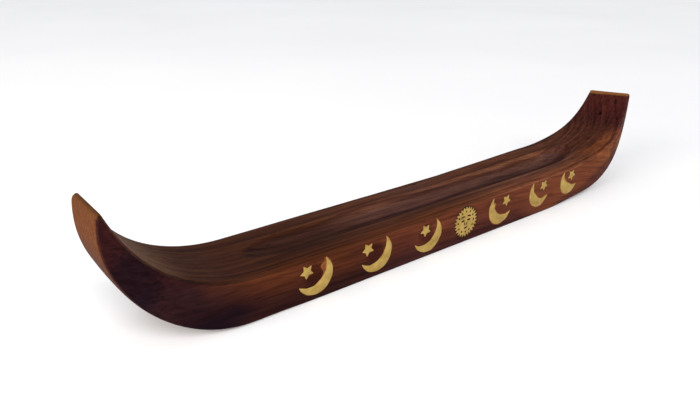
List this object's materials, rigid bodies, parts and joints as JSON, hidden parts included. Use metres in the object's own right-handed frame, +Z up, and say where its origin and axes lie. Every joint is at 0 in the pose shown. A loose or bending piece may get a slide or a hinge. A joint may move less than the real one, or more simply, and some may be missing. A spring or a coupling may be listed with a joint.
{
  "type": "incense burner",
  "caption": "Boat-shaped wooden incense stick holder with upturned ends, an ash trough, a stick hole and inlaid brass moons, stars and suns.",
  "frame": {"origin": "middle of the footprint, on the floor the boat rests on", "axes": "+X along the boat towards the end with the stick hole, +Z up, front inlaid side facing -Y"},
  "size_m": [0.2998, 0.0378, 0.0535],
  "materials": {
    "boat_wood": "waxed, satin",
    "inlay_brass": "sanded flush, dull",
    "filler_lac": "hard lac, matte"
  },
  "bodies": {
    "root": {"boat_body": "boat_wood", "front_moon_1": "inlay_brass", "front_star_1": "inlay_brass", "front_moon_lac_1": "filler_lac", "front_moon_2": "inlay_brass", "front_star_2": "inlay_brass", "front_moon_lac_2": "filler_lac", "front_moon_3": "inlay_brass", "front_star_3": "inlay_brass", "front_moon_lac_3": "filler_lac", "front_moon_4": "inlay_brass", "front_star_4": "inlay_brass", "front_moon_lac_4": "filler_lac", "front_moon_5": "inlay_brass", "front_star_5": "inlay_brass", "front_moon_lac_5": "filler_lac", "front_moon_6": "inlay_brass", "front_star_6": "inlay_brass", "front_moon_lac_6": "filler_lac", "front_sun": "inlay_brass", "front_sun_lac": "filler_lac", "back_moon_1": "inlay_brass", "back_star_1": "inlay_brass", "back_moon_lac_1": "filler_lac", "back_moon_2": "inlay_brass", "back_star_2": "inlay_brass", "back_moon_lac_2": "filler_lac", "back_moon_3": "inlay_brass", "back_star_3": "inlay_brass", "back_moon_lac_3": "filler_lac", "back_moon_4": "inlay_brass", "back_star_4": "inlay_brass", "back_moon_lac_4": "filler_lac", "back_moon_5": "inlay_brass", "back_star_5": "inlay_brass", "back_moon_lac_5": "filler_lac", "back_moon_6": "inlay_brass", "back_star_6": "inlay_brass", "back_moon_lac_6": "filler_lac", "back_sun": "inlay_brass", "back_sun_lac": "filler_lac"}
  },
  "joints": []
}
